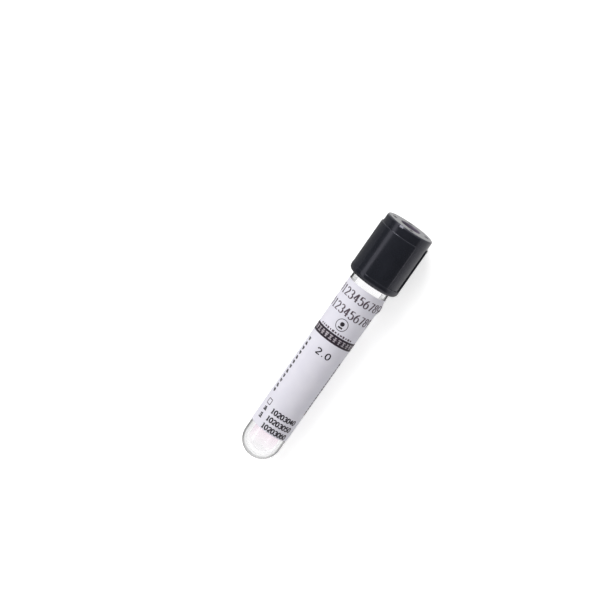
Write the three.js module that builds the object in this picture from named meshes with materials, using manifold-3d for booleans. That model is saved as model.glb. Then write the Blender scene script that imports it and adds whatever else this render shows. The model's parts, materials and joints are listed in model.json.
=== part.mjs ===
// A vacuum blood collection tube with a safety cap, lying on its side.
//
// The tube is a clear moulded test tube with a round end, a paper label round it and a little
// liquid additive in it. Its closure is a rubber stopper held inside a black safety cap whose
// skirt reaches down over the tube's mouth. Every piece is turned about the tube's axis, +Y,
// with y = 0 at the tip of the round end, +Z at the front of the label and +X to its right.
// A last group tips the whole tube until it lies on its round end and on the cap's collar.

import * as THREE from 'three';
import { mergeVertices } from 'three/addons/utils/BufferGeometryUtils.js';
import Module from 'manifold-3d';

const wasm = await Module();
wasm.setup();

// ---- Driving dimensions, in millimetres, with angles in degrees ----

// Tube: a moulded test tube with a little draft, so that its round end is slimmer than its mouth.
const tubeLength = 75;
const tubeMouthDiameter = 13;
const tubeEndDiameter = 12.6;
const tubeWall = 1.05;
const tubeRimRound = 0.3;

// Label: a paper strip that leaves a bare window along the tube's underside.
const labelStart = 10.15;
const labelToCap = 2.15;
const labelThickness = 0.1;
const labelAdhesive = 0.05;
const labelWindow = 114;

// Additive: a shallow pool that runs along the bore from the round end towards the plug.
const solutionDepth = 2.25;
const solutionToPlug = 9;
const solutionGap = 0.2;

// Stopper: a recessed plug in the bore, and above the rim a flange, a neck and a head.
const stopperSeatGap = 0.25;
const plugLength = 8.2;
const plugClearance = 0.1;
const plugEndRound = 0.9;
const plugWall = 2.15;
const plugRecessDepth = 4.5;
const flangeOverhang = 0.3;
const flangeHeight = 2.6;
const neckInset = 0.8;
const neckHeight = 2.2;
const headHeight = 4.5;
const headEdgeRound = 0.4;
const wellDepth = 4.8;
const wellFloorRound = 0.8;

// Safety cap: its walls, the needle port in its top, and what holds the stopper.
const capWall = 0.8;
const capSkirtClearance = 0.8;
const capSkirtReach = 9.15;
const capRimRound = 0.5;
const capTopThickness = 1.8;
const capPortDiameter = 6.8;
const capPortRound = 0.3;
const capPortToWell = 0.1;
const stopperClearance = 0.25;
const snapRingClearance = 0.25;

// Safety cap: the smooth collar at the skirt's lower end, and the lip inside it.
const collarStep = 0.45;
const collarHeight = 2.4;
const collarRound = 1.5;
const collarShoulderRound = 0.25;
const lipClearance = 0.3;
const lipHeight = 1.6;
const lipChamfer = 0.2;

// Safety cap: two raised grip pads, with a bare flute between them on each side.
const padCount = 2;
const padStep = 0.4;
const padWidth = 135;
const fluteMiddle = 59;
const padTopBelowRim = 3;
const padEdgeRound = 0.2;

// Safety cap: slim ribs inside the skirt that keep the tube centred.
const ribCount = 6;
const ribWidth = 0.8;
const ribClearance = 0.35;
const ribTopGap = 0.3;

// Safety cap: small core-pin marks round its top face.
const markCount = 4;
const markDiameter = 0.8;
const markDepth = 0.5;
const markFirst = 8;

// How finely round forms are divided.
const turnsOnTube = 64;
const turnsOnStopper = 48;
const turnsOnMark = 12;
const stepsOnEnd = 12;
const stepsOnRound = 4;
const stepsOnEdge = 2;

// ---- Sizes that follow from them ----

const mouthRadius = tubeMouthDiameter / 2;
const endRadius = tubeEndDiameter / 2;
const tubeRadiusAt = (y) => THREE.MathUtils.mapLinear(y, endRadius, tubeLength, endRadius, mouthRadius);
const boreRadiusAt = (y) => tubeRadiusAt(y) - tubeWall;

const plugTop = tubeLength + stopperSeatGap;
const plugBottom = plugTop - plugLength;
const neckBottom = plugTop + flangeHeight;
const neckTop = neckBottom + neckHeight;
const headTop = neckTop + headHeight;
const headRadius = mouthRadius + flangeOverhang;
const neckRadius = headRadius - neckInset;
const portRadius = capPortDiameter / 2;

const capUnderside = headTop + stopperClearance;
const capTop = capUnderside + capTopThickness;
const capBottom = tubeLength - capSkirtReach;
const skirtRadius = mouthRadius + capSkirtClearance;
const capRadius = skirtRadius + capWall;
const wallMiddle = skirtRadius + capWall / 2;
const collarRadius = capRadius + collarStep;
const collarTop = capBottom + collarHeight;
const lipRadius = mouthRadius + lipClearance;
const lipTop = capBottom + lipHeight;
const collarEdgeRound = Math.min(collarRound, collarRadius - lipRadius - lipChamfer, collarHeight / 1.5);

// ---- Geometry helpers ----

const ON_AXIS = 1e-9;

const at = (radius, height) => new THREE.Vector2(radius, height);

/** Points on an arc in the profile plane (radius, height); angles run from outward to upward. */
function arc(radius, height, round, from, to, steps) {
  return Array.from({ length: steps + 1 }, (_, i) => {
    const angle = THREE.MathUtils.degToRad(from + ((to - from) * i) / steps);
    const across = radius + round * Math.cos(angle);
    return at(Math.abs(across) < ON_AXIS ? 0 : across, height + round * Math.sin(angle));
  });
}

/** Merges shared vertices and drops the flat triangles that a revolve leaves on its axis. */
function weld(geometry) {
  geometry.deleteAttribute('normal');
  geometry.deleteAttribute('uv');
  const merged = mergeVertices(geometry);
  const { array } = merged.index;
  const kept = [];
  for (let i = 0; i < array.length; i += 3) {
    const [a, b, c] = array.slice(i, i + 3);
    if (a !== b && b !== c && c !== a) kept.push(a, b, c);
  }
  merged.setIndex(kept);
  return merged;
}

/** Turns a closed profile about the axis, with a flat side of the polygon facing down. */
function revolve(profile, turns) {
  return weld(new THREE.LatheGeometry(profile, turns, Math.PI / turns));
}

/** The outline of a ring's sector, between two azimuths from the front towards +X. */
function sector(innerRadius, outerRadius, from, to) {
  const start = THREE.MathUtils.degToRad(from - 90);
  const end = THREE.MathUtils.degToRad(to - 90);
  const shape = new THREE.Shape();
  shape.absarc(0, 0, outerRadius, start, end, false);
  shape.absarc(0, 0, innerRadius, end, start, true);
  shape.closePath();
  return shape;
}

/** Extrudes an outline along the tube's axis, from a height upwards. */
function alongAxis(shape, height, options) {
  const geometry = new THREE.ExtrudeGeometry(shape, options);
  geometry.rotateX(-Math.PI / 2);
  geometry.translate(0, height, 0);
  return geometry;
}

function toSolid(geometry) {
  const { index, attributes } = geometry.hasAttribute('normal') ? weld(geometry) : geometry;
  return new wasm.Manifold(new wasm.Mesh({
    numProp: 3,
    vertProperties: Float32Array.from(attributes.position.array),
    triVerts: Uint32Array.from(index.array),
  }));
}

function fromSolid(solid) {
  const mesh = solid.getMesh();
  const geometry = new THREE.BufferGeometry();
  geometry.setAttribute('position', new THREE.BufferAttribute(mesh.vertProperties, 3));
  geometry.setIndex(new THREE.BufferAttribute(mesh.triVerts, 1));
  return geometry;
}

// ---- Pieces ----

/** The round-bottomed tube: outer wall up to a rounded rim, and the bore back down. */
function makeTube() {
  const rimHeight = tubeLength - tubeRimRound;
  return revolve([
    ...arc(0, endRadius, endRadius, -90, 0, stepsOnEnd),
    ...arc(mouthRadius - tubeRimRound, rimHeight, tubeRimRound, 0, 90, stepsOnEdge),
    ...arc(boreRadiusAt(tubeLength) + tubeRimRound, rimHeight, tubeRimRound, 90, 180, stepsOnEdge),
    ...arc(0, endRadius, endRadius - tubeWall, 0, -90, stepsOnEnd),
  ], turnsOnTube);
}

/** The paper label: a sector of a thin ring that follows the tube's draft. */
function makeLabel() {
  const inner = mouthRadius + labelAdhesive;
  const halfWrap = 180 - labelWindow / 2;
  const shape = sector(inner, inner + labelThickness, -halfWrap, halfWrap);
  const label = alongAxis(shape, labelStart, {
    depth: capBottom - labelToCap - labelStart,
    bevelEnabled: false,
    curveSegments: turnsOnTube,
  });
  const { position } = label.attributes;
  for (let i = 0; i < position.count; i += 1) {
    const [x, y, z] = [position.getX(i), position.getY(i), position.getZ(i)];
    const radius = Math.hypot(x, z);
    const follow = (radius + tubeRadiusAt(y) - mouthRadius) / radius;
    position.setXYZ(i, x * follow, y, z * follow);
  }
  return weld(label);
}

/** The liquid additive: the lower side of the bore, cut off level as the tube lies. */
function makeSolution(tilt) {
  const poolRadius = endRadius - tubeWall - solutionGap;
  const poolEnd = plugBottom - solutionToPlug;
  const bore = toSolid(revolve([
    ...arc(0, endRadius, poolRadius, -90, 0, stepsOnEnd),
    at(boreRadiusAt(poolEnd) - solutionGap, poolEnd),
    at(0, poolEnd),
  ], turnsOnStopper));

  const side = 2 * tubeLength;
  const below = new THREE.BoxGeometry(side, 2 * side, side);
  below.translate(0, 0, -side / 2);
  below.rotateX(-tilt);
  below.translate(0, endRadius, (solutionDepth - poolRadius) / Math.cos(tilt));
  return fromSolid(bore.intersect(toSolid(below)));
}

/** The rubber stopper: recessed plug, flange on the tube's rim, snap-in neck, head and well. */
function makeStopper() {
  const plugRadius = boreRadiusAt(plugBottom) - plugClearance;
  const recessRadius = plugRadius - plugWall;
  const recessTop = plugBottom + plugRecessDepth;
  const wellRadius = portRadius - capPortToWell;
  const wellFloor = headTop - wellDepth;
  return revolve([
    at(0, recessTop),
    ...arc(recessRadius - plugEndRound, recessTop - plugEndRound, plugEndRound, 90, 0, stepsOnEdge),
    at(recessRadius, plugBottom),
    ...arc(plugRadius - plugEndRound, plugBottom + plugEndRound, plugEndRound, -90, 0, stepsOnRound),
    at(plugRadius, plugTop),
    at(headRadius, plugTop),
    ...arc(headRadius - headEdgeRound, neckBottom - headEdgeRound, headEdgeRound, 0, 90, stepsOnEdge),
    at(neckRadius, neckBottom),
    at(neckRadius, neckTop),
    at(headRadius, neckTop),
    ...arc(headRadius - headEdgeRound, headTop - headEdgeRound, headEdgeRound, 0, 90, stepsOnEdge),
    at(wellRadius, headTop),
    ...arc(wellRadius - wellFloorRound, wellFloor + wellFloorRound, wellFloorRound, 0, -90, stepsOnEdge),
    at(0, wellFloor),
  ], turnsOnStopper);
}

/** The cap's shell: collar, body, rim, top with its port, and the bore with its snap ring. */
function makeCapShell() {
  const headBore = headRadius + stopperClearance;
  const ringBore = neckRadius + snapRingClearance;
  const ringBottom = neckBottom + snapRingClearance;
  const ringTop = neckTop - snapRingClearance;
  const ringLead = (ringTop - ringBottom) / 4;
  const mouth = at(lipRadius + lipChamfer, capBottom);
  const collarFoot = collarRadius - collarEdgeRound;
  const shoulder = collarTop - collarShoulderRound;
  return revolve([
    mouth,
    ...arc(collarFoot, capBottom + collarEdgeRound, collarEdgeRound, -90, 0, stepsOnRound),
    ...arc(collarRadius - collarShoulderRound, shoulder, collarShoulderRound, 0, 90, stepsOnEdge),
    at(capRadius, collarTop),
    ...arc(capRadius - capRimRound, capTop - capRimRound, capRimRound, 0, 90, stepsOnRound),
    ...arc(portRadius + capPortRound, capTop - capPortRound, capPortRound, 90, 180, stepsOnEdge),
    at(portRadius, capUnderside),
    at(headBore, capUnderside),
    at(headBore, ringTop),
    at(ringBore, ringTop - ringLead),
    at(ringBore, ringBottom + ringLead),
    at(skirtRadius, ringBottom),
    at(skirtRadius, lipTop + lipChamfer),
    at(lipRadius, lipTop),
    at(lipRadius, capBottom + lipChamfer),
    mouth,
  ], turnsOnTube);
}

/** One raised grip pad, rooted in the shell's wall and in the collar. */
function makePad(middle) {
  const foot = collarTop - collarHeight / 4;
  const shape = sector(wallMiddle, capRadius + padStep, middle - padWidth / 2, middle + padWidth / 2);
  return alongAxis(shape, foot + padEdgeRound, {
    depth: capTop - padTopBelowRim - foot - 2 * padEdgeRound,
    bevelThickness: padEdgeRound,
    bevelSize: padEdgeRound,
    bevelOffset: -padEdgeRound,
    bevelSegments: stepsOnEdge,
    curveSegments: Math.round((padWidth / 360) * turnsOnTube),
  });
}

/** One slim rib inside the skirt, rooted in its wall and its lip. */
function makeRib(turn) {
  const inner = mouthRadius + ribClearance;
  const bottom = lipTop - lipChamfer;
  const top = plugTop - ribTopGap;
  const rib = new THREE.BoxGeometry(ribWidth, top - bottom, wallMiddle - inner);
  rib.translate(0, (top + bottom) / 2, (wallMiddle + inner) / 2);
  rib.rotateY(turn);
  return rib;
}

/** The core pin that leaves one of the round marks, halfway from the port to the cap's side. */
function makeMark(azimuth) {
  const pin = new THREE.CylinderGeometry(markDiameter / 2, markDiameter / 2, 2 * markDepth, turnsOnMark);
  pin.translate(0, capTop, (portRadius + capRadius) / 2);
  pin.rotateY(THREE.MathUtils.degToRad(azimuth));
  return pin;
}

function makeCap() {
  let cap = toSolid(makeCapShell());
  for (let i = 0; i < padCount; i += 1) {
    cap = cap.add(toSolid(makePad(fluteMiddle + ((i + 0.5) * 360) / padCount)));
  }
  for (let i = 0; i < ribCount; i += 1) {
    cap = cap.add(toSolid(makeRib(((i + 0.5) * 2 * Math.PI) / ribCount)));
  }
  for (let i = 0; i < markCount; i += 1) {
    cap = cap.subtract(toSolid(makeMark(markFirst + (i * 360) / markCount)));
  }
  return fromSolid(cap);
}

// ---- Resting pose ----

/** The tilt, in radians, at which the round end and the collar's lower edge share one floor. */
function restingTilt() {
  const reach = capBottom + collarEdgeRound - endRadius;
  const drop = collarRadius - collarEdgeRound;
  return Math.atan2(drop, reach) + Math.asin((collarEdgeRound - endRadius) / Math.hypot(drop, reach));
}

// ---- Materials ----

const clearPlastic = new THREE.MeshStandardMaterial({
  color: 0xeef1f4, roughness: 0.06, metalness: 0, transparent: true, opacity: 0.35,
});
const labelPaper = new THREE.MeshStandardMaterial({ color: 0xdedbe5, roughness: 0.65, metalness: 0 });
const citrate = new THREE.MeshStandardMaterial({
  color: 0xf3e6ee, roughness: 0.03, metalness: 0, transparent: true, opacity: 0.4,
});
const blackPlastic = new THREE.MeshStandardMaterial({ color: 0x1b1b20, roughness: 0.32, metalness: 0 });
const darkRubber = new THREE.MeshStandardMaterial({ color: 0x40363d, roughness: 0.75, metalness: 0 });

// ---- Assembly ----

function piece(name, geometry, material) {
  const mesh = new THREE.Mesh(geometry, material);
  mesh.name = name;
  return mesh;
}

const tilt = restingTilt();
const lying = new THREE.Group();
lying.rotation.x = tilt;
lying.add(
  piece('tube', makeTube(), clearPlastic),
  piece('label', makeLabel(), labelPaper),
  piece('citrate_solution', makeSolution(tilt), citrate),
  piece('rubber_stopper', makeStopper(), darkRubber),
  piece('safety_cap', makeCap(), blackPlastic),
);

// The origin is on the floor, under the middle of the part.
const extent = new THREE.Box3().setFromObject(lying, true);
const middle = extent.getCenter(new THREE.Vector3());
lying.position.set(-middle.x, -middle.y, -extent.min.z);

const bloodCollectionTube = new THREE.Group();
bloodCollectionTube.add(lying);

export default bloodCollectionTube;
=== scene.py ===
"""A vacuum blood collection tube with a black safety cap, lying on a pale floor.

The sections follow the tube as it is put together: the moulded tube, the label and its print,
the liquid additive, the rubber stopper and the cap pressed over it. The floor, the lamps and the
camera come last. Sizes are in millimetres in the tube's own frame: y runs along the tube from
the tip of its round end, z points out through the front of the label and x to its right.
"""

import json
import math

import bmesh
import bpy
import numpy as np
from mathutils import Matrix, Vector


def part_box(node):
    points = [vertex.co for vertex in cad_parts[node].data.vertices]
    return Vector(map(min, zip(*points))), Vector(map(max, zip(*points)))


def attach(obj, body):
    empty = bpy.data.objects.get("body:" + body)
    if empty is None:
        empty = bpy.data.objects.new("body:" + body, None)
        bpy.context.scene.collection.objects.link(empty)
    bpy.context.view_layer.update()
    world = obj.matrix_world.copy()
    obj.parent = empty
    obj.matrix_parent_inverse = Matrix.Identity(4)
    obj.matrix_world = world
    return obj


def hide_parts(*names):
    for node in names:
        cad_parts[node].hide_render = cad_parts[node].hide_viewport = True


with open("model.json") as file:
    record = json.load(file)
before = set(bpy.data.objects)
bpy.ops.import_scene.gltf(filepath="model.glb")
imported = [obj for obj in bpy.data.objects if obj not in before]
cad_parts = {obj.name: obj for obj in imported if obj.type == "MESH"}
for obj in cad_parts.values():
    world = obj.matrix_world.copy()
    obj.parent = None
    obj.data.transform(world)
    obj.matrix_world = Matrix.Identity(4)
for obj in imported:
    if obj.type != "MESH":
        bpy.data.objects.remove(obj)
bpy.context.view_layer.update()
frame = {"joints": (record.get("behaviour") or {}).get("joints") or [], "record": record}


# ---- The tube ----
# A round-bottomed test tube, injection moulded in clear PET with a little draft, so that its end
# is slimmer than its mouth. Its rim is rounded, and its gate left a shallow dimple at the tip.

TUBE_LENGTH = 75.0
MOUTH_RADIUS = 6.5
END_RADIUS = 6.3
TUBE_WALL = 1.05
TUBE_RIM_ROUND = 0.3
GATE_RADIUS = 0.9
GATE_DEPTH = 0.12
TUBE_TURNS = 192

MM = 0.001
COLLAR_RADIUS = 8.55
INSIDE_FRAME = 0.9993


def unit(vector):
    """The vector at length 1."""
    return np.array(vector) / np.linalg.norm(vector)


tip = np.array(next(m["pos_m"] for m in frame["record"]["mounts"] if m["name"] == "rack_seat"))
along = unit(frame["joints"][0]["axis"])
right = np.array([1.0, 0.0, 0.0])
front = np.cross(right, along)
flat_fit = INSIDE_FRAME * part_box("safety_cap")[1].x / (COLLAR_RADIUS * MM)


def lay(points):
    """Moves points from the tube's own frame, in millimetres, to where the tube lies, in metres.

    Distances from the tube's axis shrink by the ratio between a flat of the frame's many-sided
    tube and its corner, so that the round tube rests where the many-sided one does, and by a
    hair more, to stay inside it at the tilted ends.
    """
    x, y, z = (MM * points[..., k, None] for k in range(3))
    return tip + flat_fit * x * right + y * along + flat_fit * z * front


def arc(radius, height, round_, start, end, steps):
    """Profile points (radius, height) on an arc; its angle runs from outward, 0, to upward, 90."""
    angle = np.radians(np.linspace(start, end, steps + 1))
    return np.stack([radius + round_ * np.cos(angle), height + round_ * np.sin(angle)], 1)


def outline(*parts):
    """One profile from arcs and single points, with its radius kept at or outside the axis."""
    points = np.vstack([np.atleast_2d(np.array(part, float)) for part in parts])
    points[:, 0] = np.maximum(points[:, 0], 0.0)
    return points


def around(radius, height, azimuth):
    """Points at (radius, height) on the ray at an azimuth, which turns from +z towards +x."""
    radius, height, azimuth = np.broadcast_arrays(radius, height, azimuth)
    return np.stack([radius * np.sin(azimuth), height, radius * np.cos(azimuth)], -1)


def solid(name, carried, material, closed=True, crease=35.0):
    """A closed outline of m points carried through n places, each a row of an (n, m, 3) array.

    Each group is one such array. Neighbouring outlines are joined by faces. Where they go all
    the way round, closed, the last meets the first; otherwise a face is laid over each end.
    Edges that bend by more than the crease angle, in degrees, stay sharp.
    """
    groups = carried if isinstance(carried, list) else [carried]
    vertices, faces, start = [], [], 0
    for outlines in groups:
        n, m = outlines.shape[:2]
        index = start + np.arange(n * m).reshape(n, m)
        here = index if closed else index[:-1]
        there = np.roll(index, -1, 0) if closed else index[1:]
        quads = np.stack([here, there, np.roll(there, -1, 1), np.roll(here, -1, 1)], -1)
        faces += quads.reshape(-1, 4).tolist()
        if not closed:
            faces += [index[0].tolist(), index[-1, ::-1].tolist()]
        vertices.append(lay(outlines).reshape(-1, 3))
        start += n * m
    mesh = bpy.data.meshes.new(name)
    mesh.from_pydata(np.vstack(vertices).tolist(), [], faces)
    shape = bmesh.new()
    shape.from_mesh(mesh)
    bmesh.ops.remove_doubles(shape, verts=shape.verts, dist=1e-7)
    bmesh.ops.recalc_face_normals(shape, faces=shape.faces)
    shape.to_mesh(mesh)
    shape.free()
    mesh.polygons.foreach_set("use_smooth", np.ones(len(mesh.polygons), bool))
    mesh.set_sharp_from_angle(angle=math.radians(crease))
    mesh.materials.append(material)
    piece = bpy.data.objects.new(name, mesh)
    bpy.context.scene.collection.objects.link(piece)
    return piece


def new_material(name):
    """An empty node material with its output, its shader and object coordinates."""
    material = bpy.data.materials.new(name)
    material.use_nodes = True
    tree = material.node_tree
    tree.nodes.clear()
    output = tree.nodes.new("ShaderNodeOutputMaterial")
    shader = tree.nodes.new("ShaderNodeBsdfPrincipled")
    tree.links.new(shader.outputs["BSDF"], output.inputs["Surface"])
    place = tree.nodes.new("ShaderNodeTexCoord").outputs["Object"]
    return material, tree, shader, place


def noise(tree, place, per_mm, detail=3.0, stretch=(1.0, 1.0, 1.0)):
    """A noise pattern with so many features per millimetre, drawn out along the stretched axes."""
    mapping = tree.nodes.new("ShaderNodeMapping")
    mapping.inputs["Scale"].default_value = [s * per_mm / MM for s in stretch]
    pattern = tree.nodes.new("ShaderNodeTexNoise")
    pattern.inputs["Scale"].default_value = 1.0
    pattern.inputs["Detail"].default_value = detail
    tree.links.new(place, mapping.inputs["Vector"])
    tree.links.new(mapping.outputs["Vector"], pattern.inputs["Vector"])
    return pattern.outputs["Fac"]


def climb(tree, value, start, end, low, high, way="LINEAR"):
    """A number that goes from low to high, and no further, as a value goes from start to end."""
    slope = tree.nodes.new("ShaderNodeMapRange")
    slope.interpolation_type = way
    for name, number in zip(("From Min", "From Max", "To Min", "To Max"), (start, end, low, high)):
        slope.inputs[name].default_value = number
    tree.links.new(value, slope.inputs["Value"])
    return slope.outputs["Result"]


def spread(tree, pattern, low, high):
    """The pattern's middle, from 0.3 to 0.7, spread over the range from low to high."""
    return climb(tree, pattern, 0.3, 0.7, low, high)


def bump(tree, shader, pattern, height_mm, strength=1.0):
    """Raises the surface by the pattern, up to so many millimetres."""
    relief = tree.nodes.new("ShaderNodeBump")
    relief.inputs["Distance"].default_value = height_mm * MM
    relief.inputs["Strength"].default_value = strength
    tree.links.new(pattern, relief.inputs["Height"])
    tree.links.new(relief.outputs["Normal"], shader.inputs["Normal"])


def show_instead(tree, picked, usual, other):
    """Lets most rays meet the usual shader, and those where picked is 1 meet the other one."""
    mix = tree.nodes.new("ShaderNodeMixShader")
    output = next(n for n in tree.nodes if n.type.startswith("OUTPUT"))
    tree.links.new(picked, mix.inputs["Fac"])
    tree.links.new(usual.outputs[0], mix.inputs[1])
    tree.links.new(other.outputs[0], mix.inputs[2])
    tree.links.new(mix.outputs["Shader"], output.inputs["Surface"])


def let_lamps_through(tree, shader):
    """Lets lamp light pass straight through a clear material, as it does a thin clear wall."""
    path = tree.nodes.new("ShaderNodeLightPath").outputs
    show_instead(tree, path["Is Shadow Ray"], shader, tree.nodes.new("ShaderNodeBsdfTransparent"))


def clear_pet():
    """Clear moulded PET, glossy, with faint flow marks drawn out along the tube."""
    material, tree, shader, place = new_material("clear_pet")
    shader.inputs["Base Color"].default_value = (0.985, 0.985, 0.99, 1)
    shader.inputs["Transmission Weight"].default_value = 1.0
    shader.inputs["IOR"].default_value = 1.57
    flow = noise(tree, place, 0.35, stretch=(1.0, 0.12, 1.0))
    tree.links.new(spread(tree, flow, 0.0, 0.015), shader.inputs["Roughness"])
    bump(tree, shader, flow, 0.002)
    let_lamps_through(tree, shader)
    return material


def tube_radius(height):
    """The tube's outer radius: it widens evenly from the round end to the mouth."""
    return END_RADIUS + (MOUTH_RADIUS - END_RADIUS) * (height - END_RADIUS) / (TUBE_LENGTH - END_RADIUS)


def bore_radius(height):
    """The tube's inner radius at a height."""
    return tube_radius(height) - TUBE_WALL


def gate_dimple(profile):
    """Raises the outside of the tip by a smooth dimple: deepest at the axis, none past its rim."""
    near = np.clip(1 - profile[:, 0] / GATE_RADIUS, 0, 1)
    profile[:, 1] += GATE_DEPTH * near * near * (3 - 2 * near)
    return profile


rim_height = TUBE_LENGTH - TUBE_RIM_ROUND
tube_outside = gate_dimple(outline(arc(0, END_RADIUS, END_RADIUS, -90, 0, 60)))
tube_profile = outline(
    tube_outside,
    arc(MOUTH_RADIUS - TUBE_RIM_ROUND, rim_height, TUBE_RIM_ROUND, 0, 90, 6),
    arc(bore_radius(TUBE_LENGTH) + TUBE_RIM_ROUND, rim_height, TUBE_RIM_ROUND, 90, 180, 6),
    arc(0, END_RADIUS, END_RADIUS - TUBE_WALL, 0, -90, 32),
)
tube_azimuth = np.linspace(0, 2 * np.pi, TUBE_TURNS, endpoint=False)[:, None]
tube = solid("clear_tube", around(tube_profile[:, 0], tube_profile[:, 1], tube_azimuth), clear_pet())
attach(tube, "vessel")
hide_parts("tube")


# ---- The label ----
# A self-adhesive paper strip, wrapped round the tube by a labelling machine. It leaves a bare
# window along the tube's underside, and one spot near its upper edge hasn't been pressed down.

LABEL_START = 10.15
LABEL_END = 63.7
LABEL_ADHESIVE = 0.05
LABEL_THICKNESS = 0.1
LABEL_HALF_WRAP = 123.0
BLISTER_AZIMUTH = 84.0
BLISTER_HEIGHT = 60.4
BLISTER_HALF_TURN = 16.0
BLISTER_HALF_LENGTH = 2.6
BLISTER_LIFT = 0.5
PAPER_PAINTED_GLOW = 0.55


def blister(azimuth, height):
    """How far the paper stands off the tube: a rounded bump that fades out at its half sizes."""
    turn = (np.degrees(azimuth) - BLISTER_AZIMUTH) / BLISTER_HALF_TURN
    up = (height - BLISTER_HEIGHT) / BLISTER_HALF_LENGTH
    return BLISTER_LIFT * np.clip(1 - turn**2, 0, 1) ** 2 * np.clip(1 - up**2, 0, 1) ** 2


def paper_radius(azimuth, height):
    """The radius of the label's printed face."""
    return tube_radius(height) + LABEL_ADHESIVE + LABEL_THICKNESS + blister(azimuth, height)


def two_tone(tree, share, first, second, colour):
    """Gives a colour socket two tones, mixed by a share that goes from 0 to 1."""
    tint = tree.nodes.new("ShaderNodeMix")
    tint.data_type = "RGBA"
    tint.inputs[6].default_value = (*first, 1)
    tint.inputs[7].default_value = (*second, 1)
    tree.links.new(share, tint.inputs["Factor"])
    tree.links.new(tint.outputs[2], colour)


def label_paper():
    """Coated white paper with a cool cast: faint fibres, and a semi-matt face.

    From inside the tube it has an even pale painted glow, standing in for the light that soaks
    through it.
    """
    material, tree, shader, place = new_material("label_paper")
    cloud = spread(tree, noise(tree, place, 0.25), 0.0, 1.0)
    fibre = noise(tree, place, 6.0, detail=5.0)
    two_tone(tree, cloud, (0.715, 0.70, 0.775), (0.75, 0.735, 0.80), shader.inputs["Base Color"])
    tree.links.new(spread(tree, fibre, 0.5, 0.65), shader.inputs["Roughness"])
    shader.inputs["Specular IOR Level"].default_value = 0.35
    bump(tree, shader, fibre, 0.006)
    # Painted glow: rays through the clear tube see the paper as a pale emission, not as lit paper.
    painted_paper_glow = tree.nodes.new("ShaderNodeEmission")
    painted_paper_glow.inputs["Strength"].default_value = PAPER_PAINTED_GLOW
    path = tree.nodes.new("ShaderNodeLightPath").outputs
    show_instead(tree, path["Is Transmission Ray"], shader, painted_paper_glow)
    return material


label_azimuth = np.radians(np.linspace(-LABEL_HALF_WRAP, LABEL_HALF_WRAP, 213))[:, None]
label_height = np.linspace(LABEL_START, LABEL_END, 108)
printed_face = around(paper_radius(label_azimuth, label_height), label_height, label_azimuth)
glued_radius = paper_radius(label_azimuth, label_height) - LABEL_THICKNESS
glued_face = around(glued_radius, label_height, label_azimuth)
label_outlines = np.concatenate([printed_face, glued_face[:, ::-1]], 1)
label = solid("paper_label", label_outlines, label_paper(), closed=False)
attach(label, "vessel")
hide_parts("label")


# ---- The label's print ----
# Plain numbers and marks, offset printed on the paper before it was cut. Each stroke is a thin
# band of ink, drawn flat in millimetres across and up the label and then wrapped round it.

INK_BELOW = -0.01
INK_ABOVE = 0.012
WRAP_RADIUS = 6.6


def ink_material(name, low, high):
    """Printing ink: a colour that varies a little with how the paper took it, semi-matt."""
    material, tree, shader, place = new_material(name)
    cover = noise(tree, place, 3.0)
    two_tone(tree, spread(tree, cover, 0.0, 1.0), low, high, shader.inputs["Base Color"])
    tree.links.new(spread(tree, cover, 0.42, 0.55), shader.inputs["Roughness"])
    bump(tree, shader, cover, 0.003)
    return material


def bend(across, up, half_width, half_height, start, end, steps=18):
    """A stroke along part of an ellipse, from one angle to another."""
    angle = np.radians(np.linspace(start, end, steps + 1))
    return np.stack([across + half_width * np.cos(angle), up + half_height * np.sin(angle)], 1)


def straight(x0, y0, x1, y1, steps=4):
    """A straight stroke between two points."""
    return np.linspace((x0, y0), (x1, y1), steps + 1)


# Each numeral's strokes, in a box one unit high and about 0.6 wide.
NUMERALS = {
    "0": [bend(0.3, 0.5, 0.25, 0.5, 0, 360, 32)],
    "1": [straight(0.32, 0, 0.32, 1), straight(0.32, 1, 0.15, 0.84), straight(0.14, 0, 0.5, 0)],
    "2": [
        np.vstack([bend(0.3, 0.73, 0.24, 0.27, 165, -25), straight(0.5, 0.58, 0.06, 0.02)]),
        straight(0.05, 0.03, 0.56, 0.03),
    ],
    "3": [bend(0.28, 0.76, 0.21, 0.24, 155, -90), bend(0.28, 0.27, 0.26, 0.27, 90, -155)],
    "4": [straight(0.4, 1, 0.04, 0.3), straight(0.03, 0.29, 0.58, 0.29), straight(0.41, 1, 0.41, 0)],
    "5": [
        straight(0.14, 0.97, 0.52, 0.97),
        straight(0.14, 0.98, 0.1, 0.56),
        bend(0.28, 0.32, 0.26, 0.32, 128, -150),
    ],
    "6": [bend(0.3, 0.31, 0.25, 0.31, 0, 360, 28), bend(0.52, 0.33, 0.47, 0.66, 102, 180, 12)],
    "7": [straight(0.06, 0.97, 0.55, 0.97), straight(0.54, 0.97, 0.23, 0)],
    "8": [bend(0.3, 0.76, 0.19, 0.24, 0, 360, 26), bend(0.3, 0.27, 0.24, 0.27, 0, 360, 28)],
    "9": [bend(0.3, 0.69, 0.25, 0.31, 0, 360, 28), bend(0.08, 0.67, 0.47, 0.66, -78, 0, 12)],
    ".": [straight(0.24, 0.06, 0.36, 0.06, 2)],
}


def pen_stroke(path, thick, thin, below=INK_BELOW, above=INK_ABOVE):
    """A band of ink along a path on the flat label, as outlines for solid().

    Its width goes from thin, where the path runs across the label, to thick, where it runs up
    it, as a broad pen's does. Its four corners lie half a width to either side of the path, a
    little under the paper's face and a little over it, and are then wrapped round the label.
    """
    way = np.gradient(path, axis=0)
    way /= np.linalg.norm(way, axis=1, keepdims=True)
    half = (thin + (thick - thin) * way[:, 1:] ** 2) / 2
    left = path + half * np.stack([-way[:, 1], way[:, 0]], 1)
    opposite = 2 * path - left
    corners = np.stack([left, opposite, opposite, left], 1)
    azimuth, height = corners[..., 0] / WRAP_RADIUS, corners[..., 1]
    lift = np.array([below, below, above, above])
    return around(paper_radius(azimuth, height) + lift, height, azimuth)


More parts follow.
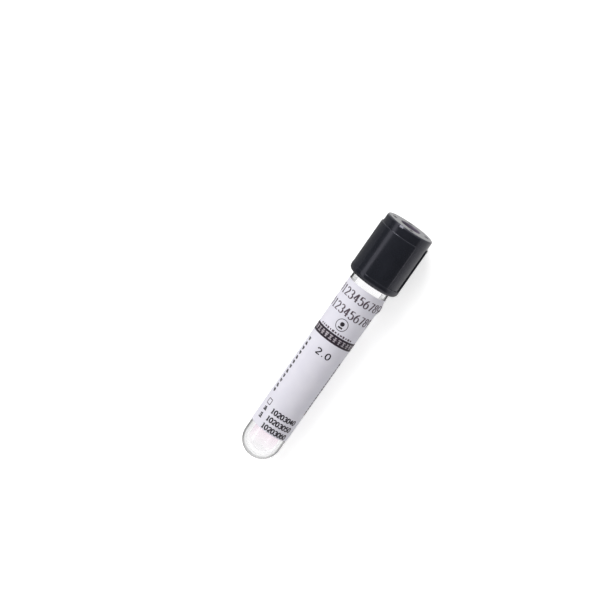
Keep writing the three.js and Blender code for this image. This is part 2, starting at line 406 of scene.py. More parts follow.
def row_of_numbers(text, across, middle, size, pitch, width, thick, thin):
    """The strokes of a row of numerals, from its left end, across, and centred on its middle."""
    box = size * np.array([width, 1])
    return [
        pen_stroke(np.array([across + i * pitch, middle - size / 2]) + box * stroke, thick, thin)
        for i, numeral in enumerate(text)
        for stroke in NUMERALS[numeral]
    ]


def patch(across, up, width, height, **lift):
    """A filled rectangle of ink round its middle, carried across the label in short steps."""
    steps = max(2, round(width / 0.4))
    path = straight(across - width / 2, up, across + width / 2, up, steps)
    return pen_stroke(path, height, height, **lift)


def printed(name, strokes, material):
    """A finished group of ink bands on the label."""
    ink = solid(name, strokes, material, closed=False)
    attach(ink, "vessel")
    return ink


black_ink = ink_material("black_ink", (0.010, 0.007, 0.012), (0.022, 0.016, 0.026))
grey_ink = ink_material("grey_ink", (0.065, 0.045, 0.06), (0.11, 0.082, 0.105))
plum_ink = ink_material("plum_ink", (0.016, 0.009, 0.018), (0.027, 0.016, 0.029))
white_ink = ink_material("white_ink", (0.34, 0.30, 0.34), (0.52, 0.48, 0.52))
brown_ink = ink_material("brown_ink", (0.22, 0.16, 0.11), (0.29, 0.22, 0.16))

# Two rows of large, slim numerals run right across the front under the label's upper edge.
SERIAL_SIZE = 2.75
SERIAL_PITCH = 1.92
SERIAL_TEXT = "0123456789"
serial_left = -SERIAL_PITCH * len(SERIAL_TEXT) / 2
serial_rows = [
    stroke
    for middle in (60.35, 55.1)
    for stroke in row_of_numbers(
        SERIAL_TEXT, serial_left, middle, SERIAL_SIZE, SERIAL_PITCH, 0.95, 0.54, 0.25
    )
]
printed("label_serial_numbers", serial_rows, grey_ink)

# A plain ring with a round drop, built up from bars of ink, and a bar under it.
RING_ACROSS, RING_UP, RING_RADIUS, RING_STROKE = -0.05, 50.95, 1.92, 0.2
DROP_UP, DROP_RADIUS = RING_UP + 0.3, math.sqrt(0.5)
ring_path = bend(RING_ACROSS, RING_UP, RING_RADIUS, RING_RADIUS, 0, 360, 48)
drop = [
    patch(RING_ACROSS, DROP_UP + dy, 2 * math.sqrt(max(0.02, DROP_RADIUS**2 - dy**2)), 0.16)
    for dy in np.linspace(-0.6, 0.55, 9)
]
bar = patch(RING_ACROSS, RING_UP - 0.95, 1.5, 0.5)
printed("label_ring_mark", [pen_stroke(ring_path, RING_STROKE, RING_STROKE), bar, *drop], black_ink)

# A broad dark band with a row of light blocks over it, each an upright with three bars across.
BAND_UP, BAND_HEIGHT, BAND_WIDTH = 45.96, 2.85, 25.4
BLOCK_PITCH, BLOCK_HALF, BAR_STEP = 1.6, 0.76, 0.6
BLOCK_STROKES = (0.27, 0.27, 0.27, 0.3, 0.38, 0.38, 0.36, 0.26, 0.23, 0.23, 0.23, 0.25, 0.27, 0.27)
BAR_WIDTHS = ((1.1, 0.6, 1.1), (0.75, 1.15, 0.75), (1.15, 0.9, 0.55))
OVER_BAND = {"below": INK_ABOVE - 0.008, "above": INK_ABOVE + 0.01}
printed("label_dark_band", [patch(0, BAND_UP, BAND_WIDTH, BAND_HEIGHT)], plum_ink)
blocks = []
for i, stroke in enumerate(BLOCK_STROKES):
    across = (i - (len(BLOCK_STROKES) - 1) / 2) * BLOCK_PITCH
    for k, bar_width in enumerate(BAR_WIDTHS[i % 3]):
        blocks.append(patch(across, BAND_UP + BAR_STEP * (1 - k), bar_width, stroke, **OVER_BAND))
    upright = straight(across, BAND_UP - BLOCK_HALF, across, BAND_UP + BLOCK_HALF, 2)
    blocks.append(pen_stroke(upright, stroke, stroke, **OVER_BAND))
printed("label_band_blocks", blocks, white_ink)

# A row of fine dashes just over the band.
dashes = [
    patch(across, 47.95, (0.6, 0.4, 0.75)[i % 3], (0.5, 0.72)[i % 2])
    for i, across in enumerate(np.arange(-6.18, 5.6, 0.98))
]
printed("label_fine_dashes", dashes, grey_ink)

# The draw volume, as a plain number in the label's middle.
volume = row_of_numbers("2.0", -2.2, 40.325, 1.95, 1.72, 1.45, 0.46, 0.36)
printed("label_volume_number", volume, black_ink)

# Three rows of short, bold numerals start near the middle and run round to the right.
bold_rows = [
    stroke
    for text, middle in (("10203040", 16.77), ("10203050", 14.09), ("10203060", 11.4))
    for stroke in row_of_numbers(text, -2.85, middle, 1.5, 1.2, 1.2, 0.46, 0.38)
]
printed("label_bold_numbers", bold_rows, black_ink)

# Small marks run up the label on both sides of the empty space where a name is written: groups
# of three bars on the left, single bars on the right, and two taller groups at the lower left.
side_marks = []
for i, up in enumerate(np.arange(22.0, 41.9, 1.75)):
    long, short = ((1.3, 0.8), (1.0, 1.2), (1.4, 0.7))[i % 3]
    side_marks.append(patch(-7.15, up + 0.36, long, 0.34))
    side_marks.append(patch(-7.05, up, 1.2, 0.3))
    side_marks.append(patch(-6.95, up - 0.34, short, 0.34))
for i, up in enumerate(np.arange(21.6, 39.8, 1.05)):
    side_marks.append(patch(8.75, up, 1.1, (0.75, 0.55, 0.85)[i % 3]))
for up, half in ((15.95, 0.72), (13.45, 0.95)):
    side_marks.append(patch(-5.45, up + half * 0.5, 1.1, 0.34))
    side_marks.append(patch(-5.3, up - half * 0.1, 1.2, 0.3))
    side_marks.append(patch(-5.35, up - half * 0.75, 1.5, 0.4))
    side_marks.append(pen_stroke(straight(-5.1, up - half, -5.1, up + half), 0.34, 0.34))
printed("label_side_marks", side_marks, black_ink)

# A tick box over the lower groups, and a small brown spot at the foot of the right-hand marks.
BOX_MIDDLE, BOX_HALF, BOX_STROKE = np.array([-5.45, 18.35]), 0.86, 0.27
box_corners = [(-1, -1), (1, -1), (1, 1), (-1, 1), (-1, -1)]
tick_box = [
    pen_stroke(BOX_MIDDLE + BOX_HALF * straight(*here, *there), BOX_STROKE, BOX_STROKE)
    for here, there in zip(box_corners, box_corners[1:])
]
printed("label_tick_box", tick_box, grey_ink)
printed("label_brown_spot", [patch(8.9, 20.6, 1.0, 0.8)], brown_ink)


# ---- The additive ----
# A shallow pool of clear sodium citrate solution with a faint pink cast. It lies along the
# bore's lower side, level as the tube lies, and creeps up the wall a little at its edges.

POOL_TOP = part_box("citrate_solution")[1].z
POOL_START_STEPS = 90
POOL_END = 58.0
CREEP_HEIGHT = 0.45
CREEP_REACH = 0.55
WETTING = 0.01
POOL_TONGUE = 3.5
DYE_START = 3.0
DYE_FULL = 8.0


def measure(tree, operation, place, other=(0.0, 0.0, 0.0)):
    """One step of vector arithmetic between a place and a fixed vector."""
    step = tree.nodes.new("ShaderNodeVectorMath")
    step.operation = operation
    step.inputs[1].default_value = other
    tree.links.new(place, step.inputs[0])
    return step.outputs["Vector" if operation in ("SUBTRACT", "CROSS_PRODUCT") else "Value"]


def by_height(tree, place, start, end, low, high):
    """A value that climbs from low to high between two heights along the tube."""
    base = float(tip.dot(along))
    height = measure(tree, "DOT_PRODUCT", place, along)
    return climb(tree, height, base + start * MM, base + end * MM, low, high)


def citrate():
    """Water clear liquid, still and smooth, with a trace of pink that fades towards the tip."""
    material, tree, shader, place = new_material("citrate")
    shader.inputs["Transmission Weight"].default_value = 1.0
    shader.inputs["IOR"].default_value = 1.34
    dye = by_height(tree, place, DYE_START, DYE_FULL, 0.0, 1.0)
    two_tone(tree, dye, (1.0, 0.985, 0.995), (0.89, 0.775, 0.84), shader.inputs["Base Color"])
    still = noise(tree, place, 0.2)
    tree.links.new(spread(tree, still, 0.0, 0.015), shader.inputs["Roughness"])
    bump(tree, shader, still, 0.001)
    let_lamps_through(tree, shader)
    return material


def wet_radius(height):
    """The radius that the liquid fills at a height: the bore's, round end included."""
    inside = END_RADIUS - TUBE_WALL
    below = np.clip(END_RADIUS - height, 0, inside)
    straight_part = bore_radius(np.maximum(height, END_RADIUS))
    return np.where(height < END_RADIUS, np.sqrt(inside**2 - below**2), straight_part) + WETTING


def level_at(height):
    """How far in front of the tube's axis, so below zero, the level surface lies at a height."""
    return ((POOL_TOP - tip[2]) / MM - height * along[2]) / front[2]


def pool_outlines():
    """The pool's cross-sections: the wetted arc of the bore, closed by the liquid's surface.

    The surface is level, and near the wall it rises by the creep, which dies away over the
    reach. Towards the neck the pool narrows to a rounded tongue: the angle that it wets shrinks
    as a quarter ellipse does.
    """
    heights = np.linspace(TUBE_WALL, POOL_END, 1200)
    wet = heights[-level_at(heights) < wet_radius(heights) - 0.02]
    ease = (1 - np.cos(np.linspace(0, np.pi, POOL_START_STEPS))) / 2
    y = (wet[0] + (wet[-1] - wet[0]) * ease)[:, None]
    radius, level = wet_radius(y), level_at(y)
    into_tongue = np.clip((y - (POOL_END - POOL_TONGUE)) / POOL_TONGUE, 0, 0.999)
    tongue = np.sqrt(1 - into_tongue**2)
    half = np.arccos(np.clip(-level / radius, -1, 1)) * tongue
    creep = 1 + CREEP_HEIGHT / (radius * np.maximum(np.sin(half), 0.35))
    swing = np.linspace(-1, 1, 25) * half * creep
    wall = around(radius, y, swing) * [1, 1, -1]
    edge = wall[:, -1]
    x = np.linspace(1, -1, 25)[None, 1:-1] * edge[:, :1]
    from_wall = edge[:, :1] - np.abs(x)
    lift = (edge[:, 2:] - np.minimum(level, edge[:, 2:])) * np.exp(-from_wall / CREEP_REACH)
    z = np.minimum(level, edge[:, 2:]) + lift
    surface = np.stack([x, np.broadcast_to(y, x.shape), z], -1)
    return np.concatenate([wall, surface], 1)


pool = solid("citrate_pool", pool_outlines(), citrate(), closed=False)
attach(pool, "vessel")
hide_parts("citrate_solution")


# ---- The rubber stopper ----
# Moulded in one piece of dark bromobutyl rubber: a recessed plug that seals in the bore, a
# flange on the tube's rim, a neck for the cap's snap ring, and a head with a needle well.

PLUG_TOP = 75.25
PLUG_BOTTOM = 67.05
PLUG_RADIUS = float(bore_radius(PLUG_BOTTOM)) - 0.1
PLUG_RECESS_RADIUS = PLUG_RADIUS - 2.15
PLUG_RECESS_TOP = PLUG_BOTTOM + 4.5
PLUG_END_ROUND = 0.9
HEAD_RADIUS = 6.8
NECK_RADIUS = 6.0
NECK_BOTTOM = 77.85
NECK_TOP = 80.05
HEAD_TOP = 84.55
HEAD_ROUND = 0.4
WELL_RADIUS = 3.3
WELL_FLOOR = 79.75
WELL_ROUND = 0.8
INNER_ROUND = 0.2


def dark_rubber():
    """Dull dark rubber with a brownish cast, a fine bloom and a slightly uneven skin."""
    material, tree, shader, place = new_material("dark_rubber")
    bloom = noise(tree, place, 0.6)
    skin = noise(tree, place, 9.0)
    cloudy = spread(tree, bloom, 0.0, 1.0)
    two_tone(tree, cloudy, (0.075, 0.052, 0.062), (0.105, 0.078, 0.09), shader.inputs["Base Color"])
    tree.links.new(spread(tree, bloom, 0.55, 0.75), shader.inputs["Roughness"])
    bump(tree, shader, skin, 0.01)
    return material


stopper_profile = outline(
    (0, PLUG_RECESS_TOP),
    arc(PLUG_RECESS_RADIUS - PLUG_END_ROUND, PLUG_RECESS_TOP - PLUG_END_ROUND, PLUG_END_ROUND, 90, 0, 8),
    (PLUG_RECESS_RADIUS, PLUG_BOTTOM + INNER_ROUND),
    arc(PLUG_RECESS_RADIUS + INNER_ROUND, PLUG_BOTTOM + INNER_ROUND, INNER_ROUND, 180, 270, 4),
    arc(PLUG_RADIUS - PLUG_END_ROUND, PLUG_BOTTOM + PLUG_END_ROUND, PLUG_END_ROUND, -90, 0, 10),
    (PLUG_RADIUS, PLUG_TOP),
    arc(HEAD_RADIUS - INNER_ROUND, PLUG_TOP + INNER_ROUND, INNER_ROUND, -90, 0, 4),
    arc(HEAD_RADIUS - HEAD_ROUND, NECK_BOTTOM - HEAD_ROUND, HEAD_ROUND, 0, 90, 6),
    (NECK_RADIUS, NECK_BOTTOM),
    (NECK_RADIUS, NECK_TOP),
    arc(HEAD_RADIUS - INNER_ROUND, NECK_TOP + INNER_ROUND, INNER_ROUND, -90, 0, 4),
    arc(HEAD_RADIUS - HEAD_ROUND, HEAD_TOP - HEAD_ROUND, HEAD_ROUND, 0, 90, 6),
    arc(WELL_RADIUS + INNER_ROUND, HEAD_TOP - INNER_ROUND, INNER_ROUND, 90, 180, 4),
    arc(WELL_RADIUS - WELL_ROUND, WELL_FLOOR + WELL_ROUND, WELL_ROUND, 0, -90, 8),
    (0, WELL_FLOOR),
)
stopper_azimuth = np.linspace(0, 2 * np.pi, 144, endpoint=False)[:, None]
stopper_outlines = around(stopper_profile[:, 0], stopper_profile[:, 1], stopper_azimuth)
stopper = solid("stopper", stopper_outlines, dark_rubber())
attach(stopper, "closure")
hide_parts("rubber_stopper")


# ---- The safety cap ----
# Injection moulded in one piece of black polypropylene: a sleeve with a smooth collar, two
# raised grip pads with a bare flute between them, a port in its top, a snap ring that holds the
# stopper's neck, and slim ribs inside its skirt. Core pins left four marks round its top.

CAP_BOTTOM = 65.85
CAP_TOP = 86.599
CAP_UNDERSIDE = 84.8
CAP_RADIUS = 8.1
CAP_RIM_ROUND = 0.5
PORT_RADIUS = 3.4
PORT_ROUND = 0.3
COLLAR_ROUND = 1.5
COLLAR_TOP = 68.25
COLLAR_SHOULDER = 0.25
LIP_RADIUS = 6.8
LIP_CHAMFER = 0.2
LIP_TOP = 67.45
SKIRT_RADIUS = 7.3
HEAD_BORE = 7.05
RING_BORE = 6.25
RING_BOTTOM = 78.1
RING_TOP = 79.8
PAD_STEP = 0.4
PAD_TOP = 83.6
PAD_FOOT = 67.65
PAD_ROUND = 0.2
PAD_HALF_TURN = 67.5
PAD_MIDDLES = (149.0, -31.0)
RIB_COUNT = 6
RIB_RADIUS = 6.85
RIB_HALF_WIDTH = 0.4
RIB_TOP = 74.95
MARK_CIRCLE = 5.75
MARK_RADIUS = 0.4
MARK_DEPTH = 0.5
MARK_AZIMUTHS = (8.0, 98.0, 188.0, 278.0)
MARK_MATT = (0.6, 0.85)
MARK_ROUGHNESS = 0.6
PLASTIC_GLOSS = 0.55
PLASTIC_BLACK = (0.0098, 0.0110, 0.0152)
PLASTIC_RUBBED = (0.0145, 0.0162, 0.0216)
PORT_PAINTED_LIGHT = (0.104, 0.09, 0.118)
TOP_POLISH = 0.35
POLISH_EDGES = (0.3, 0.05)
TEXTURE_DEPTH = 0.05
GRAIN_SHARE = 0.08
STEEP = 0.03
NICK_AZIMUTH = -17.0
NICK_HALF_TURN = 6.5
NICK_HEIGHT = 0.75
NICK_LEAN = 27.0


def reckon(tree, operation, first, second=0.0):
    """One step of arithmetic between two sockets or numbers."""
    step = tree.nodes.new("ShaderNodeMath")
    step.operation = operation
    for socket, value in zip(step.inputs, (first, second)):
        if isinstance(value, float):
            socket.default_value = value
        else:
            tree.links.new(value, socket)
    return step.outputs[0]


def ramp(tree, value, start, end, low, high):
    """A smooth climb from low to high, as a value goes from start to end."""
    return climb(tree, value, start, end, low, high, "SMOOTHSTEP")


def in_port(tree, place):
    """1 on the port's wall, so within its radius of the tube's axis, and 0 outside it."""
    from_axis = measure(tree, "CROSS_PRODUCT", measure(tree, "SUBTRACT", place, tip), along)
    away = measure(tree, "LENGTH", from_axis)
    return reckon(tree, "LESS_THAN", away, (PORT_RADIUS + PORT_ROUND / 2) * MM)


def near_marks(tree, place):
    """1 at the core-pin marks and on the matt ring round each, falling to 0 at the ring's edge."""
    nearest = 1.0
    for azimuth in MARK_AZIMUTHS:
        mark = lay(around(MARK_CIRCLE, CAP_TOP, math.radians(azimuth)))
        nearest = reckon(tree, "MINIMUM", measure(tree, "DISTANCE", place, mark), nearest)
    return ramp(tree, nearest, MARK_MATT[0] * MM, MARK_MATT[1] * MM, 1.0, 0.0)


def black_plastic():
    """Black polypropylene: satin, with fine mould texture and soft rub marks.

    Its top is polished, with a matt ring round each core-pin mark, and the port's wall is painted
    a lighter brownish grey, a painted light for the light that falls into the port from above.
    """
    material, tree, shader, place = new_material("black_plastic")
    grain = noise(tree, place, 5.0, detail=4.0)
    rubbed = noise(tree, place, 0.22, detail=4.0, stretch=(1.0, 0.5, 1.0))
    # Painted light: the port's wall is coloured far lighter than the black plastic, for light falling in
    # from above.
    painted_port_light = tree.nodes.new("ShaderNodeMix")
    painted_port_light.data_type = "RGBA"
    painted_port_light.inputs[7].default_value = (*PORT_PAINTED_LIGHT, 1)
    worn = spread(tree, rubbed, 0.0, 1.0)
    two_tone(tree, worn, PLASTIC_BLACK, PLASTIC_RUBBED, painted_port_light.inputs[6])
    tree.links.new(in_port(tree, place), painted_port_light.inputs["Factor"])
    tree.links.new(painted_port_light.outputs[2], shader.inputs["Base Color"])
    shader.inputs["Specular Tint"].default_value = (0.88, 0.86, 1.0, 1)
    matt = near_marks(tree, place)
    gloss = reckon(tree, "SUBTRACT", PLASTIC_GLOSS, reckon(tree, "MULTIPLY", matt, PLASTIC_GLOSS))
    shader.inputs["Specular IOR Level"].default_value = PLASTIC_GLOSS
    tree.links.new(gloss, shader.inputs["Specular IOR Level"])
    near_top = [CAP_TOP - below for below in POLISH_EDGES]
    polish = by_height(tree, place, *near_top, 1.0, TOP_POLISH)
    satin = reckon(tree, "MULTIPLY", spread(tree, rubbed, 0.15, 0.23), polish)
    roughness = reckon(tree, "ADD", satin, reckon(tree, "MULTIPLY", matt, MARK_ROUGHNESS))
    tree.links.new(roughness, shader.inputs["Roughness"])
    relief = reckon(tree, "ADD", reckon(tree, "MULTIPLY", grain, GRAIN_SHARE), rubbed)
    bump(tree, shader, relief, TEXTURE_DEPTH)
    return material


def off(azimuth, middle):
    """The turn between two azimuths in degrees, from -180 to 180."""
    return (np.degrees(azimuth) - middle + 180) % 360 - 180


def step_up(inside, round_):
    """A moulded step's height, from 0 to 1, over the distance inside its edge.

    It climbs to the middle over a steep wall, then on over a quarter round to the top.
    """
    wall = 0.5 * np.clip(1 + inside / STEEP, 0, 1)
    short = 1 - np.clip(inside / round_, 0, 1)
    return np.where(inside < 0, wall, 0.5 + 0.5 * np.sqrt(1 - short**2))


def pad_relief(azimuth, height):
    """How far the grip pads raise the sleeve: each is a step up inside all of its edges."""
    raised = np.zeros(np.broadcast(azimuth, height).shape)
    for middle in PAD_MIDDLES:
        beside = np.radians(PAD_HALF_TURN - np.abs(off(azimuth, middle))) * (CAP_RADIUS + PAD_STEP)
        inside = np.minimum(np.minimum(beside, PAD_TOP - height), height - PAD_FOOT)
        raised = np.maximum(raised, step_up(inside, PAD_ROUND))
    return PAD_STEP * raised


def rib_relief(azimuth, height):
    """How far the ribs stand in from the skirt's bore: steps up inside each rib's edges."""
    raised = np.zeros(np.broadcast(azimuth, height).shape)
    for k in range(RIB_COUNT):
        turn = np.radians(off(azimuth, (k + 0.5) * 360 / RIB_COUNT))
        inside = np.minimum(RIB_HALF_WIDTH - np.abs(turn) * RIB_RADIUS, RIB_TOP - height)
        raised = np.maximum(raised, step_up(inside, 0.1))
    return (SKIRT_RADIUS - RIB_RADIUS) * raised


def mark_relief(radius, azimuth):
    """How deep the core-pin marks sink into the cap's top: round, with a steep edge."""
    sunk = np.zeros(np.broadcast(radius, azimuth).shape)
    for middle in MARK_AZIMUTHS:
        turn = np.radians(off(azimuth, middle))
        away = np.hypot(radius - MARK_CIRCLE, MARK_CIRCLE * turn)
        sunk = np.maximum(sunk, np.clip((MARK_RADIUS - away) / 0.05, 0, 1))
    return MARK_DEPTH * sunk


def nick_relief(azimuth, height):
    """How far the worn facet on the rim cuts in: a plane leaning inward, faded at its sides."""
    depth = np.clip(height - (CAP_TOP - NICK_HEIGHT), 0, None) * math.tan(math.radians(NICK_LEAN))
    fade = np.clip((NICK_HALF_TURN - np.abs(off(azimuth, NICK_AZIMUTH))) / 1.5, 0, 1)
    return depth * fade


def cap_azimuths():
    """Azimuths round the cap: even steps, and close ones at each pad edge, rib edge and mark."""
    near_pad = np.array([-0.12, -STEEP, 0, 0.02, 0.06, 0.12, PAD_ROUND]) / (CAP_RADIUS + PAD_STEP)
    near_rib = np.array([-STEEP, 0, 0.03, 0.1]) / RIB_RADIUS
    near_mark = np.linspace(-0.5, 0.5, 27) / MARK_CIRCLE
    picked = [np.radians(np.arange(0, 360, 2.0))]
    for middle in PAD_MIDDLES:
        for side in (-1, 1):
            picked.append(math.radians(middle + side * PAD_HALF_TURN) - side * near_pad)
    for k in range(RIB_COUNT):
        middle = math.radians((k + 0.5) * 360 / RIB_COUNT)
        for side in (-1, 1):
            picked.append(middle + side * (RIB_HALF_WIDTH / RIB_RADIUS - near_rib))
    for middle in MARK_AZIMUTHS:
        picked.append(math.radians(middle) + near_mark)
    picked.append(np.radians(NICK_AZIMUTH + NICK_HALF_TURN * np.linspace(-1, 1, 19)))
    turns = np.unique(np.round(np.concatenate(picked) % (2 * math.pi), 5))
    return turns[np.diff(turns, prepend=turns[-1] - 2 * math.pi) > 5e-4][:, None]


def cap_outlines(azimuth):
    """The cap's profile at each azimuth, with its pads, ribs and marks worked into it.

    Outside, the radius at a height is the collar's and sleeve's or the pads', whichever is
    more. The top's height sinks at the marks, and the skirt's bore draws in at the ribs.
    """
    shell = outline(
        arc(COLLAR_RADIUS - COLLAR_ROUND, CAP_BOTTOM + COLLAR_ROUND, COLLAR_ROUND, -90, 0, 14),
        (COLLAR_RADIUS, PAD_FOOT),
        arc(COLLAR_RADIUS - COLLAR_SHOULDER, COLLAR_TOP - COLLAR_SHOULDER, COLLAR_SHOULDER, 0, 80, 5),
        (COLLAR_RADIUS - COLLAR_SHOULDER, COLLAR_TOP),
        (CAP_RADIUS, COLLAR_TOP + 0.02),
        np.stack([np.full(24, CAP_RADIUS), np.linspace(COLLAR_TOP + 0.5, PAD_TOP - 0.4, 24)], 1),
    )
    pad_top = PAD_TOP - np.array([PAD_ROUND, 0.12, 0.06, 0.02, 0.0, -STEEP])
    body = outline(
        np.stack([np.full(6, CAP_RADIUS), pad_top], 1),
        np.stack([np.full(5, CAP_RADIUS), np.linspace(PAD_TOP + 0.2, CAP_TOP - NICK_HEIGHT, 5)], 1),
        arc(CAP_RADIUS - CAP_RIM_ROUND, CAP_TOP - CAP_RIM_ROUND, CAP_RIM_ROUND, 0, 90, 8),
    )
    outside = np.vstack([shell, body])
    top_radius = np.concatenate([[7.0, 6.6], np.linspace(6.4, 5.1, 27), [4.8, 4.3]])
    port = outline(
        arc(PORT_RADIUS + PORT_ROUND, CAP_TOP - PORT_ROUND, PORT_ROUND, 90, 180, 6),
        (PORT_RADIUS, CAP_UNDERSIDE),
        (HEAD_BORE, CAP_UNDERSIDE),
        (HEAD_BORE, RING_TOP),
        (RING_BORE, RING_TOP - 0.4),
        (RING_BORE, RING_BOTTOM + 0.4),
        (SKIRT_RADIUS, RING_BOTTOM),
        (SKIRT_RADIUS, RIB_TOP + 0.5),
    )
    rib_heights = np.array([RIB_TOP + STEEP, RIB_TOP, RIB_TOP - 0.03, RIB_TOP - 0.1, 72.0, 70.0, 68.0])
    lip = outline(
        (SKIRT_RADIUS, LIP_TOP + LIP_CHAMFER + 0.05),
        (LIP_RADIUS, LIP_TOP),
        (LIP_RADIUS, CAP_BOTTOM + LIP_CHAMFER),
        (LIP_RADIUS + LIP_CHAMFER, CAP_BOTTOM),
    )
    everywhere = np.ones_like(azimuth)
    padded = CAP_RADIUS * (outside[:, 1] >= PAD_FOOT) * (outside[:, 1] <= PAD_TOP)
    skin = np.maximum(outside[:, 0], padded + pad_relief(azimuth, outside[:, 1]))
    worn = CAP_RADIUS - nick_relief(azimuth, outside[:, 1])
    on_rim = (outside[:, 1] > PAD_TOP + 1) & (nick_relief(azimuth, outside[:, 1]) > 0)
    rows = [
        (np.where(on_rim, np.minimum(skin, worn), skin), outside[:, 1] * everywhere),
        (top_radius * everywhere, CAP_TOP - mark_relief(top_radius, azimuth)),
        (port[:, 0] * everywhere, port[:, 1] * everywhere),
        (SKIRT_RADIUS - rib_relief(azimuth, rib_heights), rib_heights * everywhere),
        (lip[:, 0] * everywhere, lip[:, 1] * everywhere),
    ]
    radius = np.concatenate([r for r, _ in rows], 1)
    height = np.concatenate([h for _, h in rows], 1)
    return around(radius, height, azimuth)


cap = solid("sleeve_cap", cap_outlines(cap_azimuths()), black_plastic(), crease=40.0)
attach(cap, "closure")
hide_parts("safety_cap")


# ---- The floor ----
# A wide sheet of smooth white board. It takes the tube's soft shadow. Seen through the tube it
# shows a painted glow: white in the middle, and painted shade, grey, where the view goes past the
# tube's edge, but paler past the tip. In the gloss of the cap its left half is painted as dim as
# grey board, a painted dark reflection.

FLOOR_HALF = 3.0
FLOOR_WHITE = 0.9
FLOOR_GLOW = 0.5
PAINTED_REFLECTION_GREY = 0.3
PAINTED_REFLECTION_EDGE = 6.0
PAINTED_REFLECTION_END = 42.0
BED_EDGES = (8.6, 10.4)
BED_WHITE = 1.1
BED_GREY = 0.6
END_SHARE = 0.65
RIM_GREY = 0.3
RIM_EDGES = (9.0, 14.0)
TIP_GREY = 0.62
ONE_WALL = 2.5


def white_board():
    """White paint with a faint tooth; sight lines see it a little brighter than lamps light it.

    A ray that came through the tube meets a painted glow instead, which paints shade round the
    tube's outline: the bed's glow, where it went through more than one wall, and otherwise the
    rim's, greyer. Both go by the distance from under the tube's axis, and past the middle of its
    round end by the distance from there, where the part along the tube counts for END_SHARE. Past
    the tip the rim is at least as pale as TIP_GREY.
    """
    material, tree, shader, place = new_material("white_board")
    path = tree.nodes.new("ShaderNodeLightPath").outputs
    tooth = noise(tree, place, 2.0)
    tree.links.new(spread(tree, tooth, 0.7, 0.85), shader.inputs["Roughness"])
    shader.inputs["Specular IOR Level"].default_value = 0.1
    split = tree.nodes.new("ShaderNodeSeparateXYZ")
    tree.links.new(place, split.inputs["Vector"])
    x, y = split.outputs["X"], split.outputs["Y"]
    # Painted dark reflection: only glossy rays see the floor's left half grey, up to the cap's end.
    painted_reflection_shade = ramp(tree, x, -PAINTED_REFLECTION_EDGE * MM, PAINTED_REFLECTION_EDGE * MM, FLOOR_WHITE - PAINTED_REFLECTION_GREY, 0.0)
    before_cap = ramp(tree, y, PAINTED_REFLECTION_END * MM, (PAINTED_REFLECTION_END + 2) * MM, 1.0, 0.0)
    painted_reflection_shade = reckon(tree, "MULTIPLY", painted_reflection_shade, before_cap)
    in_gloss = reckon(tree, "MULTIPLY", path["Is Glossy Ray"], painted_reflection_shade)
    paint = tree.nodes.new("ShaderNodeCombineColor")
    for channel in paint.inputs:
        tree.links.new(reckon(tree, "SUBTRACT", FLOOR_WHITE, in_gloss), channel)
    tree.links.new(paint.outputs["Color"], shader.inputs["Base Color"])
    glow = tree.nodes.new("ShaderNodeEmission")
    tree.links.new(reckon(tree, "MULTIPLY", path["Is Camera Ray"], FLOOR_GLOW), glow.inputs["Strength"])
    both = tree.nodes.new("ShaderNodeAddShader")
    tree.links.new(shader.outputs["BSDF"], both.inputs[0])
    tree.links.new(glow.outputs["Emission"], both.inputs[1])
    plain = tree.nodes.new("ShaderNodeEmission")
    end_middle = float(tip[1]) + END_RADIUS * MM
    past_end = reckon(tree, "MINIMUM", reckon(tree, "SUBTRACT", y, end_middle), 0.0)
    near_tip = ramp(tree, past_end, -RIM_EDGES[0] * MM, 0.0, TIP_GREY, 0.0)
    aside = tree.nodes.new("ShaderNodeCombineXYZ")
    tree.links.new(x, aside.inputs["X"])
    tree.links.new(reckon(tree, "MULTIPLY", past_end, END_SHARE), aside.inputs["Y"])
    away = measure(tree, "LENGTH", aside.outputs["Vector"])
    # Painted glow and painted shade: seen through the tube the floor glows white under it and grey round
    # its outline.
    bed = ramp(tree, away, BED_EDGES[0] * MM, BED_EDGES[1] * MM, BED_WHITE, BED_GREY)
    rim = ramp(tree, away, RIM_EDGES[0] * MM, RIM_EDGES[1] * MM, RIM_GREY, 1.0)
    rim = reckon(tree, "MAXIMUM", rim, near_tip)
    past_one_wall = reckon(tree, "GREATER_THAN", path["Transmission Depth"], ONE_WALL)
    more = reckon(tree, "MULTIPLY", past_one_wall, reckon(tree, "SUBTRACT", bed, rim))
    tree.links.new(reckon(tree, "ADD", rim, more), plain.inputs["Strength"])
    show_instead(tree, path["Is Transmission Ray"], both, plain)
    return material


floor_mesh = bpy.data.meshes.new("floor")
floor_corners = FLOOR_HALF * np.array([(-1, -1, 0), (1, -1, 0), (1, 1, 0), (-1, 1, 0)])
floor_mesh.from_pydata(floor_corners.tolist(), [], [(0, 1, 2, 3)])
floor_mesh.materials.append(white_board())
floor = bpy.data.objects.new("floor", floor_mesh)
bpy.context.scene.collection.objects.link(floor)


# ---- The light ----
# A soft box beyond the cap to the upper left and a slim one low on the left, in a room that is
# dim overhead and pale beyond both ends of the tube. Seen directly or through it, it is white.

ROOM_DIM = 0.12
ROOM_PALE = 1.0
ROOM_RIGHT = 0.6
ENDS_MIDDLE = 0.19
ENDS_EDGES = (0.25, 0.65)
RIGHT_EDGES = (0.9, 0.975)


def set_up(name, data, spot, x_axis, y_axis, z_axis):
    """Puts a lamp or a camera at a spot, turned to the three axes; it faces away from the z axis."""
    holder = bpy.data.objects.new(name, data)
    turned = Matrix(np.stack([x_axis, y_axis, z_axis], 1).tolist())
    holder.matrix_world = Matrix.LocRotScale(Vector(spot), turned.to_quaternion(), None)
    bpy.context.scene.collection.objects.link(holder)
    return holder


def soft_box(name, direction, distance, width, height, watts):
    """A rectangular lamp in a direction from the tube, facing it, with its width level."""
    lamp = bpy.data.lights.new(name, "AREA")
    lamp.shape = "RECTANGLE"
    lamp.size, lamp.size_y, lamp.energy = width, height, watts
    from_tube = unit(direction)
    level = unit(np.cross([0, 0, 1], from_tube))
    set_up(name, lamp, from_tube * distance, level, np.cross(from_tube, level), from_tube)


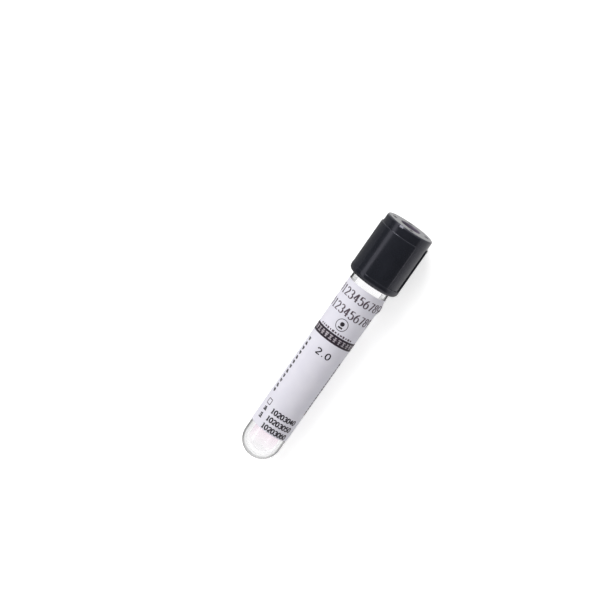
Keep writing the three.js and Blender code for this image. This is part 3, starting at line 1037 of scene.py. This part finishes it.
def room():
    """The room's light: dim overhead, pale beyond the tube's ends and low on its right."""
    world = bpy.data.worlds.new("room")
    world.use_nodes = True
    tree = world.node_tree
    tree.nodes.clear()
    tree.nodes.new("ShaderNodeOutputWorld")
    direction = tree.nodes.new("ShaderNodeTexCoord").outputs["Generated"]
    split = tree.nodes.new("ShaderNodeSeparateXYZ")
    tree.links.new(direction, split.inputs["Vector"])
    endways = reckon(tree, "ABSOLUTE", reckon(tree, "ADD", split.outputs["Y"], ENDS_MIDDLE))
    ends = ramp(tree, endways, *ENDS_EDGES, ROOM_DIM, ROOM_PALE)
    side = ramp(tree, split.outputs["X"], *RIGHT_EDGES, 0.0, ROOM_RIGHT)
    dim = tree.nodes.new("ShaderNodeBackground")
    white = tree.nodes.new("ShaderNodeBackground")
    for background in (dim, white):
        background.inputs["Color"].default_value = (1, 1, 1, 1)
    tree.links.new(reckon(tree, "ADD", ends, side), dim.inputs["Strength"])
    path = tree.nodes.new("ShaderNodeLightPath").outputs
    seen = reckon(tree, "MAXIMUM", path["Is Camera Ray"], path["Is Transmission Ray"])
    show_instead(tree, seen, dim, white)
    return world


bpy.context.scene.world = room()
soft_box("top_box", (-0.49, 0.64, 0.59), 1.3, 0.7, 0.7, 12)
soft_box("left_box", (-0.79, -0.19, 0.583), 1.2, 0.9, 0.36, 1.25)


# ---- The camera ----
# It looks down on the tube from a little towards the cap's end, with the cap up to the right.
# It aims to the upper left of the tube, so the tube lies to the lower right in the view.

CAMERA_DISTANCE = 0.8
CAMERA_LEAN = 11.0
AIM_HEIGHT = 45.92
VIEW_TURN = 35.02
VIEW_WIDTH = 183.2061
AIM_RIGHT, AIM_DOWN = 10.6809, 10.7664
SENSOR = 36.0

lean = math.radians(CAMERA_LEAN)
turn = math.radians(VIEW_TURN)
aim = lay(np.array([0.0, AIM_HEIGHT, 0.0]))
towards = math.cos(lean) * front + math.sin(lean) * along
along_seen = unit(along - along.dot(towards) * towards)
view_right = math.cos(turn) * right + math.sin(turn) * along_seen
view_up = math.cos(turn) * along_seen - math.sin(turn) * right
back = unit(CAMERA_DISTANCE * towards + MM * (AIM_RIGHT * view_right - AIM_DOWN * view_up))
camera_right = unit(view_right - view_right.dot(back) * back)
camera_up = np.cross(back, camera_right)

camera_data = bpy.data.cameras.new("camera")
camera_data.sensor_width = SENSOR
camera_data.lens = SENSOR * CAMERA_DISTANCE / (VIEW_WIDTH * MM)
spot = aim + CAMERA_DISTANCE * towards
camera = set_up("camera", camera_data, spot, camera_right, camera_up, back)
bpy.context.scene.camera = camera
bpy.context.scene.view_settings.view_transform = "Standard"
